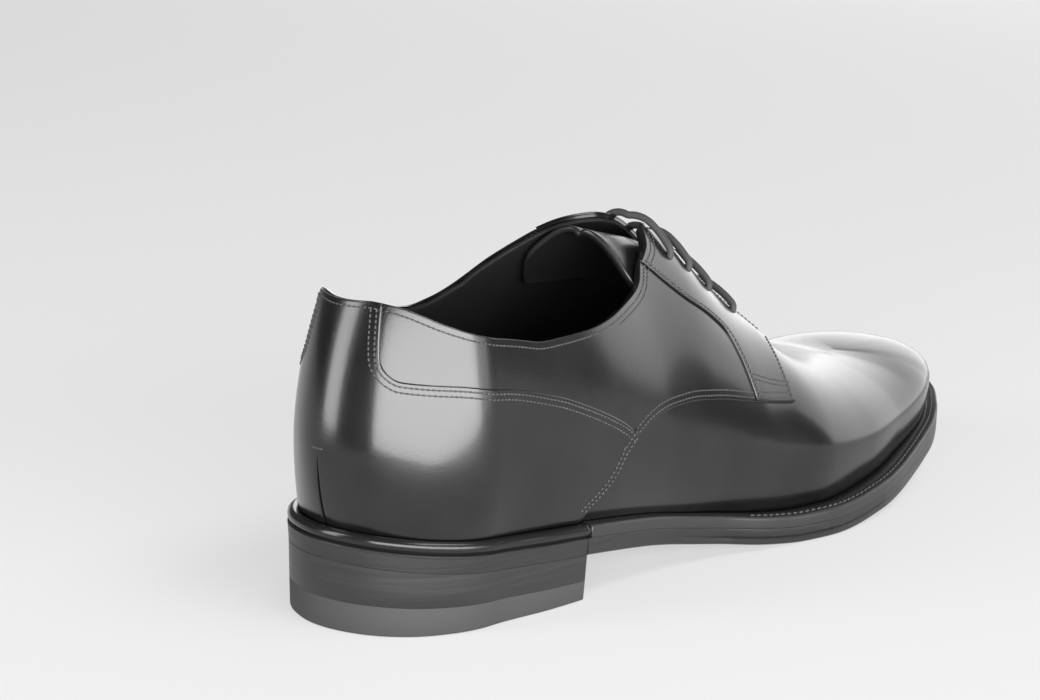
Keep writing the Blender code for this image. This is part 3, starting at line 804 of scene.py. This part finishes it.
class DERBY_OT_vamp(bpy.types.Operator):
    """Vamp over the toes, up to where the quarters and facings cover it"""
    bl_idname = "derby.vamp"
    bl_label = "Vamp"

    def execute(self, context):
        top = [(VAMP_BACK, .10), (6.0, .30), (7.0, .42), (8.0, .47), (8.6, .52), (8.85, .88)] + SLOT_CLOSING
        sections = np.concatenate([np.arange(VAMP_BACK, SLOT_END, .07),
                                   np.arange(SLOT_END, TOE + .01, .05)])
        points = []
        faces = []
        count = 64
        for side in (-1, 1):
            start = len(points)
            for section in sections:
                high = line(top, section) if section < SLOT_END else 1.0
                run = np.linspace(0, high, count)
                over = side * (1 - run)
                row = OVER.point(np.full(count, section), over, np.zeros(count))
                if high == 1.0:
                    row[-1, 1] = 0
                tuck = sole_point(section, side, reach(section, side) - 1.2, -.29)
                points.append(tuck)
                points.extend(row)
            strip = grid_faces(len(sections), count + 1, start)
            faces += strip if side > 0 else [face[::-1] for face in strip]
        vamp = mesh_object("vamp", points, faces, finishes()["polished_calf"])
        weld(vamp)
        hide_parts("upper")
        return {"FINISHED"}


class DERBY_OT_quarters(bpy.types.Operator):
    """Quarters round the heel, from the vamp to the collar"""
    bl_idname = "derby.quarters"
    bl_label = "Quarters"

    def execute(self, context):
        sizes = context.scene.derby_sizes
        corner = FRONT_CORNER
        outline = [[(-QUARTER_FOOT, 0), (0, 0), (QUARTER_FOOT, 0)]]
        outline += [signed(QUARTER_FRONT[:corner + 1], 1), signed(QUARTER_FRONT[corner:], 1)]
        outline += [backwards(signed(facing_front(1), 1)), backwards(signed(TOPLINE_IN, 1))]
        outline += [signed(TOPLINE_OUT, -1), signed(facing_front(-1), -1)]
        outline += [backwards(signed(QUARTER_FRONT[corner:], -1)),
                    backwards(signed(QUARTER_FRONT[:corner + 1], -1))]
        holes = [loop for side in (-1, 1) for loop in lace_holes(side)]
        quarters = leaf("quarters", ROUND, outline, QUARTER_STEP, 1.2, finishes()["polished_calf"],
                        lip=sizes.edge_round / MM, holes=holes)
        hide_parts("upper")
        return {"FINISHED"}


class DERBY_OT_counter(bpy.types.Operator):
    """Counter overlay round the heel, with its dart at the back"""
    bl_idname = "derby.counter"
    bl_label = "Counter"

    def execute(self, context):
        sizes = context.scene.derby_sizes
        inset = .003
        front = [(section - .012, max(0, run - inset)) for section, run in QUARTER_FRONT[:6]]
        front[-1] = (COUNTER_FRONT, .268)
        front[0] = (5.44, 0)
        top = COUNTER_TOP[:-1] + [(6.34, .288)]
        dart = .19
        outline = [[(-5.44, 0), (-.03, 0)], [(-.03, 0), (-.02, dart * .6), (0, dart)],
                   [(0, dart), (.02, dart * .6), (.03, 0)], [(.03, 0), (5.44, 0)]]
        outline += [front + [(6.34, .288)], backwards(top)]
        outline += [[(COUNTER_BACK, .519), (0, .5255), (-COUNTER_BACK, .519)]]
        outline += [signed(top, -1), backwards(signed(front + [(6.34, .288)], -1))]
        counter = leaf("counter", ROUND, outline, QUARTER_STEP + OVERLAY_STEP, OVERLAY_STEP + .1,
                       finishes()["polished_calf"], lip=sizes.edge_round / MM)
        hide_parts("upper")
        return {"FINISHED"}


class DERBY_OT_facings(bpy.types.Operator):
    """Facings that carry the lace holes"""
    bl_idname = "derby.facings"
    bl_label = "Facings"

    def execute(self, context):
        sizes = context.scene.derby_sizes
        for side, name in ((-1, "facing_outer"), (1, "facing_inner")):
            seam = facing_seam(side)
            part = [seam[0]] + [point for point in topline(side) if point[0] > seam[0][0] + .1]
            foot = [(8.7, .406)] + [(s, r + .002) for s, r in QUARTER_FRONT[12:14]]
            toe = [(9.42, .44)] + [(s - .01, r) for s, r in QUARTER_FRONT[14:]]
            edges = [seam[:-1] + [(8.7, .406)], foot[:-1] + [(9.42, .44)], toe]
            edges += [backwards(facing_front(side)[:-1] + [toe[-1]]), backwards(part)]
            outline = [signed(path, side) for path in edges]
            if side < 0:
                outline = [backwards(path) for path in reversed(outline)]
            facing = leaf(name, ROUND, outline, QUARTER_STEP + OVERLAY_STEP, OVERLAY_STEP + .1,
                          finishes()["polished_calf"], lip=sizes.edge_round / MM, holes=lace_holes(side),
                          spacing=1.4)
            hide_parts("upper")
        return {"FINISHED"}


class DERBY_OT_lining(bpy.types.Operator):
    """Lining inside the whole upper, with its own edge under the collar's"""
    bl_idname = "derby.lining"
    bl_label = "Lining"

    def execute(self, context):
        sections = np.arange(0, TOE + .001, .125)
        points = []
        faces = []
        count = 40
        for side in (-1, 1):
            rim = topline(side) + FACING_FRONT[:3]
            start = len(points)
            for section in sections:
                closed = section >= SLOT_END
                edge_line = rim if section < SLOT_START else SLOT_CLOSING
                top = 1.0 if closed else line(edge_line, section)
                lip = 0 if closed else .004
                run = np.concatenate([np.linspace(0, top - 3 * lip, count - 3),
                                      [top - 1.5 * lip, top - lip, top - lip]])
                down = np.full(count, -WALL)
                if not closed:
                    down[-3:] = (-WALL + .12, -WALL + .45, -.45)
                points.extend(ROUND.point(np.full(count, side * max(section, 1e-4)), run, down))
            strip = grid_faces(len(sections), count, start)
            faces += strip if side < 0 else [face[::-1] for face in strip]
        lining = mesh_object("lining", points, faces, finishes()["lining_leather"])
        weld(lining)
        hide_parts("upper")
        return {"FINISHED"}


def tongue_sink(a, b):
    """How much lower than the last's form the tongue lies. It's flatter at the top."""
    middle = np.clip((.45 - np.abs(b)) / .45, 0, 1) ** 2
    high = np.clip((TONGUE_FOOT - a) / (TONGUE_FOOT - TONGUE_TOP), 0, 1)
    return TONGUE_SINK * middle * high


class DERBY_OT_tongue(bpy.types.Operator):
    """Tongue under the facings and the lace"""
    bl_idname = "derby.tongue"
    bl_label = "Tongue"

    def execute(self, context):
        share = np.linspace(0, 1, 13)
        tops = {}
        sides = {}
        for way in (-1, 1):
            corner = TONGUE_CORNER * np.clip(1 - 4 * share, 0, 1) ** 2
            top = TONGUE_TOP + TONGUE_LEAN[way] * (1 - share) ** 2 + corner
            run = line(TONGUE_SIDE, top) * (1 - share) + share
            tops[way] = [(section, way * (1 - r)) for section, r in zip(top, run)]
            down = np.linspace(top[0], TONGUE_FOOT, 8)
            sides[way] = [(section, way * (1 - line(TONGUE_SIDE, section))) for section in down]
        outline = [sides[-1], [sides[-1][-1], (TONGUE_FOOT, 0), sides[1][-1]], backwards(sides[1]),
                   tops[1][:-1] + backwards(tops[-1])]
        depth = WALL + TONGUE_CLEARANCE
        tongue = leaf("tongue_face", OVER, outline, -depth, TONGUE * .5, finishes()["tongue_calf"], lip=.45,
                      spacing=1.8, sink=tongue_sink)
        lining = leaf("tongue_lining", OVER, outline, -depth - TONGUE * .98, -TONGUE * .5,
                      finishes()["lining_leather"], lip=.3, spacing=3, sink=tongue_sink)
        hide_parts("tongue")
        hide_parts("tongue")
        return {"FINISHED"}


# Sewing and lacing

def row_along(path, side, up, first, last, pitch):
    """Places of a stitch row that keeps a distance above (or, negative, below) a path."""
    a, b = smooth_path(signed(path, side), pitch * .25)
    a, b = to_left(ROUND, a, b, np.full(len(a), -side * up))
    place = ROUND.base(a, b)
    far = np.concatenate([[0], np.cumsum(np.linalg.norm(np.diff(place, axis=0), axis=1))])
    even = np.arange(first * far[-1] + pitch / 2, last * far[-1], pitch)
    a, b = np.interp(even, far, a), np.interp(even, far, b)
    out = height_at(np.abs(a), b, side)
    place = ROUND.point(a, b, out)
    return place, tangents(place), ROUND.normal(a, b)


class DERBY_OT_stitches(bpy.types.Operator):
    """Rows of sewing on the upper"""
    bl_idname = "derby.stitches"
    bl_label = "Stitches"

    def execute(self, context):
        sizes = context.scene.derby_sizes
        pitch = sizes.stitch_length / MM
        rows = []
        for side in (-1, 1):
            collar = topline(side)
            seam = facing_seam(side)
            rows.append(row_along(collar, side, -2.0, 0, .985, pitch))
            rows.append(row_along(collar[-7:], side, -3.6, .25, .97, pitch))
            for inset in (1.3, 2.9):
                rows.append(row_along(COUNTER_TOP, side, -inset, .01, .995, pitch))
                rows.append(row_along(QUARTER_FRONT[:14], side, inset, .03, .985, pitch))
            rows.append(row_along(seam, side, 1.3, .02, .98, pitch))
            rows.append(row_along(QUARTER_FRONT[13:], side, 1.6, .05, .9, pitch))
            rows.append(row_along(facing_front(side), side, -1.9, .02, .93, pitch))
            foot = [(8.72, .47), (9.1, .478), (9.42, .492)]
            rows.append(row_along(foot, side, 0, 0, 1, pitch))
            rows.append(row_along([(s, r + .015) for s, r in foot], side, 0, 0, 1, pitch))
        for side in (-1, 1):
            rows.append(row_along([(0, .21), (.12, .21)], side, 0, 0, 1, 1.0))
        stitches = thread("stitches", rows, pitch * .8, sizes.thread_thickness / MM,
                          finishes()["sewing_thread"])
        # painted shade: near-black plugs stand for the shade inside the needle holes between the stitches
        holes = hole_shade_plugs("needle_hole_shade", rows, .22, finishes()["hole_shadow"])
        return {"FINISHED"}


def lace_route(holes):
    """Middle line of a bar: up through one hole, over the tongue and down through the other."""
    over = QUARTER_STEP + OVERLAY_STEP + 1.15
    outs = [(LACE_RUN + run, out) for run, out in
            ((-.004, -1.7), (-.002, .2), (.0, 1.2), (.012, over + .05), (.032, over + .35), (.08, over + .5))]
    for run in np.linspace(.86, 1, 8):
        outs.append((run, over + .45 - LACE_SAG * float(np.clip((run - .885) / .115, 0, 1)) ** 1.15))
    places = []
    for side, start, end, stretch in ((-1, *holes, outs), (1, *holes[::-1], outs[-2::-1])):
        for run, out in stretch:
            section = start + (end - start) * (run - LACE_RUN) / (2 - 2 * LACE_RUN)
            places.append(OVER.point(np.array([section]), np.array([side * (1 - run)]), np.array([out]))[0])
    places = np.array(places)
    marks = np.concatenate([[0], np.cumsum(np.linalg.norm(np.diff(places, axis=0), axis=1))])
    fine = np.linspace(0, marks[-1], 70)
    path = np.stack([glide(marks, places[:, k], fine) for k in range(3)], -1)
    for _ in range(3):
        path[1:-1] = path[1:-1] * .5 + (path[:-2] + path[2:]) * .25
    return path


class DERBY_OT_lace(bpy.types.Operator):
    """Lace through its holes, a bar at a time"""
    bl_idname = "derby.lace"
    bl_label = "Lace"

    def execute(self, context):
        radius = context.scene.derby_sizes.lace_thickness / MM / 2
        for number, holes in enumerate(LACE_HOLES, 1):
            bar = tube(f"lace_{number}", lace_route(holes), radius, finishes()["lace_cotton"], 14)
            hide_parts(f"lace_bar_{number}")
        return {"FINISHED"}


# Sole

def swept(name, stops, profile, material):
    """Closed profile of (radius, rise over the feather line) carried round the sole, with end faces."""
    points = []
    for number, (section, side) in enumerate(stops):
        points += [sole_point(section, side, radius, rise) for radius, rise in profile(section, side, number)]
    size = len(points) // len(stops)
    faces = grid_faces(len(stops), size, closed=True)
    faces += [tuple(range(size)), tuple(range(len(points) - size, len(points)))]
    item = mesh_object(name, points, faces, material)
    weld(item)
    return item


def round_stops(first, last, step):
    """Sections from the outer side's first, round the toe and back on the inner side."""
    run = np.linspace(first, last, int((last - first) / step) + 1)
    return [(s, -1) for s in run] + [(s, 1) for s in run[-2::-1]]


def even_stops(first, last, pitch):
    """The same, at even distances along the sole's edge."""
    fine = round_stops(first, last, .02)
    places = np.array([sole_point(s, side, edge(s, side), 0) for s, side in fine])
    far = np.concatenate([[0], np.cumsum(np.linalg.norm(np.diff(places, axis=0), axis=1))])
    signed_sections = np.array([s - last if side < 0 else last - s for s, side in fine])
    even = np.interp(np.arange(0, far[-1], pitch), far, signed_sections)
    return [(last + v, -1) if v < 0 else (last - v, 1) for v in even]


class DERBY_OT_welt(bpy.types.Operator):
    """Welt with its wheel marks and stitches, and the bead round the heel seat"""
    bl_idname = "derby.welt"
    bl_label = "Welt and rand"

    def execute(self, context):
        sizes = context.scene.derby_sizes
        pitch = sizes.rib_pitch / MM
        start = section_at(BREAST) + .06
        stops = even_stops(start, TOE, pitch / 6)

        def profile(section, side, number):
            inner = reach(section, side) - WALL
            outer = edge(section, side)
            fore = np.clip((section - 9.5) / 1.5, 0, 1)
            rib = .24 * fore * math.cos(number * 2 * math.pi / 6)
            return [(inner, -WELT - GAP), (inner, -GAP), (outer - 3.6, -GAP - .02),
                    (outer - 3.2, -GAP - .1 + rib), (outer - 1.2, -GAP - .1 + rib),
                    (outer - .75, -GAP - .12 + rib * .6), (outer - .3, -GAP - .35),
                    (outer - .05, -GAP - .8), (outer, -GAP - 1.3), (outer, -GAP - WELT + .9),
                    (outer, -GAP - WELT + .2), (outer - .03, -GAP - WELT + .04),
                    (outer - .12, -GAP - WELT - .12)]

        welt = swept("welt_strip", stops, profile, finishes()["welt_leather"])
        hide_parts("welt")

        end = start - GAP / float(spine(6) - spine(5))
        run = np.linspace(0, end, 90)
        bead = np.radians(np.linspace(88, -60, 12))

        def rand_profile(section, side, number):
            inner = reach(section, side) - WALL
            outer = edge(section, side)
            half = WELT / 2
            arc = [(outer - half + half * math.cos(a), -GAP - half + half * math.sin(a)) for a in bead]
            return [(inner, -GAP)] + arc + [(outer - .9, -GAP - WELT), (inner, -GAP - WELT)]
        stops = [(s, -1) for s in run[::-1]] + [(s, 1) for s in run[1:]]
        rand = swept("rand_bead", stops, rand_profile, finishes()["rand_polish"])
        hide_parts("heel_rand")

        seam = even_stops(8.6, TOE, 2.5)
        places = np.array([sole_point(s, side, edge(s, side) - 2.2, -GAP - .05) for s, side in seam])
        ways = tangents(places)
        normals = np.tile((0.0, 0.0, 1.0), (len(places), 1))
        sewn = thread("welt_stitches", [(places, ways, normals)], 1.9, .75, finishes()["sewing_thread"])
        return {"FINISHED"}


def plate(name, stops, rim, material, flat_front=False):
    """Plate across the sole. rim(section, side) gives its edge, top to bottom, as (radius, height at x)."""
    points = []
    faces = []
    for side in (-1, 1):
        start = len(points)
        for section in stops:
            edge_points = rim(section, side)
            first, last = edge_points[0], edge_points[-1]
            row = [(first[0] * k, first[1]) for k in (0, .35, .7, .9)] + edge_points
            row += [(last[0] * k, last[1]) for k in (.9, .7, .35, 0)]
            for radius, level in row:
                x, y, _ = sole_point(section, side, radius, 0)
                points.append((x, y, level(x)))
        size = (len(points) - start) // len(stops)
        faces += grid_faces(len(stops), size, start)
        if flat_front:
            faces.append(tuple(range(len(points) - size, len(points))))
    item = mesh_object(name, points, faces, material)
    weld(item, .01)
    item.data.set_sharp_from_angle(angle=math.radians(40))
    return item


def over_feather(rise):
    return lambda x: float(feather(x)) + rise


class DERBY_OT_outsole(bpy.types.Operator):
    """Outsole with the line round its edge"""
    bl_idname = "derby.outsole"
    bl_label = "Outsole"

    def execute(self, context):
        whole = WELT + 2 * GAP + OUTSOLE
        top = -WELT - 2 * GAP
        groove = GROOVE_HEIGHT - whole
        front = section_at(BREAST)

        def rim(section, side):
            outer = edge(section, side)
            cut = GROOVE_DEPTH * float(np.clip((section - 6.8) / 1.6, .12, 1))
            free = [(.12, top + .14), (.03, top - .04), (0, top - .2), (0, groove + .6),
                    (cut * .5, groove + .25), (cut, groove), (cut * .5, groove - .25), (0, groove - .6),
                    (.04, 1.0 - whole), (.16, .55 - whole), (.46, .18 - whole), (.95, -whole)]
            levels = np.linspace(top - .3, .1 - whole, 8)
            seated = [(.35, top + .1), (.1, top - .08), (.03, top - .25)]
            seated += [(.05 + .45 * (top - level) / OUTSOLE, level) for level in levels] + [(.62, -whole)]
            steps = seated if section < front else free
            return [(outer - inset, over_feather(rise)) for inset, rise in steps]
        sections = np.sort(np.concatenate([np.linspace(0, TOE, 240), [front - 1e-3, front]]))
        sole = plate("outsole_plate", sections, rim, finishes()["sole_edge"])
        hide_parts("outsole")
        return {"FINISHED"}


class DERBY_OT_heel(bpy.types.Operator):
    """Stacked heel and its rubber top piece"""
    bl_idname = "derby.heel"
    bl_label = "Heel"

    def execute(self, context):
        front = section_at(BREAST)
        sections = np.linspace(0, front, 70)

        def seam(x):
            return TOP_PIECE_BACK + (TOP_PIECE_FRONT - TOP_PIECE_BACK) * x / BREAST

        def radius(section, side, share):
            return edge(section, side) - HEEL_INSET - HEEL_TAPER * share

        def block_rim(section, side):
            def at(rise, share):
                return lambda x: ((float(underside(x)) - GAP) * (1 - share) + (seam(x) + GAP * .3) * share
                                  + rise)
            top, middle, low = (radius(section, side, share) for share in (0, .25, .5))
            return [(top - .1, at(GAP - .02, 0)), (top, at(GAP - .14, 0)), (middle, at(0, .5)),
                    (low, at(.12, 1)), (low - .1, at(0, 1))]

        def piece_rim(section, side):
            def at(rise, share):
                return lambda x: seam(x) * (1 - share) + rise
            return [(radius(section, side, .5) - .1, at(.06, 0)), (radius(section, side, .5), at(-.08, 0)),
                    (radius(section, side, .9), at(.9, 1)), (radius(section, side, .95), at(.35, 1)),
                    (radius(section, side, 1) - .35, at(0, 1))]
        block = plate("heel_stack", sections, block_rim, finishes()["heel_edge"], flat_front=True)
        piece = plate("heel_top_piece", sections, piece_rim, finishes()["heel_rubber"], flat_front=True)
        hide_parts("heel_block")
        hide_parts("top_piece")
        return {"FINISHED"}


class DERBY_OT_insole(bpy.types.Operator):
    """Sock leather over the insole"""
    bl_idname = "derby.insole"
    bl_label = "Insole"

    def execute(self, context):
        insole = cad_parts["insole"]
        insole.data.materials.clear()
        insole.data.materials.append(finishes()["lining_leather"])
        return {"FINISHED"}


# Stage

def soft_box(name, azimuth, distance, height, size, glow, tilt):
    """Soft box at an azimuth from the outer side towards the toe, aimed at the shoe and tilted down."""
    light = bpy.data.lights.new(name, "AREA")
    light.shape = "RECTANGLE"
    light.size, light.size_y = size
    light.energy = glow * math.pi * size[0] * size[1]
    item = bpy.data.objects.new(name, light)
    a, t = math.radians(azimuth), math.radians(tilt)
    item.location = (math.sin(a) * distance, -math.cos(a) * distance, height)
    way = Vector((math.sin(a) * math.cos(t), -math.cos(a) * math.cos(t), math.sin(t)))
    item.rotation_euler = way.to_track_quat("Z", "Y").to_euler()
    bpy.context.scene.collection.objects.link(item)


class DERBY_OT_stage(bpy.types.Operator):
    """Floor, soft light and the camera at the photograph's angle"""
    bl_idname = "derby.stage"
    bl_label = "Stage"

    def execute(self, context):
        scene = context.scene
        shape = bmesh.new()
        bmesh.ops.create_grid(shape, x_segments=1, y_segments=1, size=FLOOR_HALF)
        mesh = bpy.data.meshes.new("floor")
        shape.to_mesh(mesh)
        shape.free()
        mesh.materials.append(floor_paint("floor_paint", tuple(scene.derby_colours.floor)))
        floor = bpy.data.objects.new("floor", mesh)
        near = math.radians(VIEW_ANGLES[0])
        back = FLOOR_HALF - FLOOR_FRONT
        floor.rotation_euler.z = -near
        floor.location = (math.sin(near) * back, math.cos(near) * back, -.0002)
        scene.collection.objects.link(floor)
        world = bpy.data.worlds.new("studio")
        scene.world = world
        world.use_nodes = True
        world.node_tree.nodes["Background"].inputs["Color"].default_value = (1, 1, 1, 1)
        world.node_tree.nodes["Background"].inputs["Strength"].default_value = SKY
        for values in SOFT_BOXES:
            soft_box(*values)
        self.camera(scene)
        scene.view_settings.view_transform = "Standard"
        scene.view_settings.look = "None"
        return {"FINISHED"}

    def camera(self, scene):
        azimuth, elevation, roll = (math.radians(v) for v in VIEW_ANGLES)
        shift_x, shift_y = ((at - size / 2) / VIEW_SCALE for at, size in zip(PIVOT_PIXEL, PICTURE))
        back = Vector((-math.sin(azimuth) * math.cos(elevation), -math.cos(azimuth) * math.cos(elevation),
                       math.sin(elevation)))
        right = Vector((math.cos(azimuth), -math.sin(azimuth), 0))
        up = back.cross(right)
        rolled_right = right * math.cos(roll) + up * math.sin(roll)
        rolled_up = up * math.cos(roll) - right * math.sin(roll)
        place = Vector(VIEW_PIVOT) + back * VIEW_DISTANCE - rolled_right * shift_x + rolled_up * shift_y
        camera = bpy.data.cameras.new("camera")
        camera.sensor_width = SENSOR
        camera.lens = SENSOR * VIEW_SCALE * VIEW_DISTANCE / PICTURE[0]
        camera.clip_start, camera.clip_end = .05, 50
        item = bpy.data.objects.new("camera", camera)
        matrix = Matrix((rolled_right, rolled_up, back)).transposed().to_4x4()
        matrix.translation = Vector(to_frame(place).tolist())
        item.matrix_world = matrix
        scene.collection.objects.link(item)
        scene.camera = item


class DERBY_PT_panel(bpy.types.Panel):
    """Sizes, colours and pieces of the shoe"""
    bl_label = "Derby Shoe"
    bl_idname = "DERBY_PT_panel"
    bl_space_type = "VIEW_3D"
    bl_region_type = "UI"
    bl_category = "Derby"

    def draw(self, context):
        for group in (context.scene.derby_sizes, context.scene.derby_colours):
            for name in group.__annotations__:
                self.layout.prop(group, name)
        for operator in OPERATORS:
            self.layout.operator(operator.bl_idname)


OPERATORS = (DERBY_OT_vamp, DERBY_OT_quarters, DERBY_OT_counter, DERBY_OT_facings, DERBY_OT_lining,
             DERBY_OT_tongue, DERBY_OT_stitches, DERBY_OT_lace, DERBY_OT_welt, DERBY_OT_outsole,
             DERBY_OT_heel, DERBY_OT_insole, DERBY_OT_stage)
GROUPS = (DerbySizes, DerbyColours)


def register():
    for item in GROUPS + OPERATORS + (DERBY_PT_panel,):
        bpy.utils.register_class(item)
    bpy.types.Scene.derby_sizes = bpy.props.PointerProperty(type=DerbySizes)
    bpy.types.Scene.derby_colours = bpy.props.PointerProperty(type=DerbyColours)


def unregister():
    del bpy.types.Scene.derby_colours
    del bpy.types.Scene.derby_sizes
    for item in reversed(GROUPS + OPERATORS + (DERBY_PT_panel,)):
        bpy.utils.unregister_class(item)


def main():
    register()
    for operator in OPERATORS:
        group, name = operator.bl_idname.split(".")
        getattr(getattr(bpy.ops, group), name)()


SHOE_CENTRE = centre_of_box()

if __name__ == "__main__":
    main()
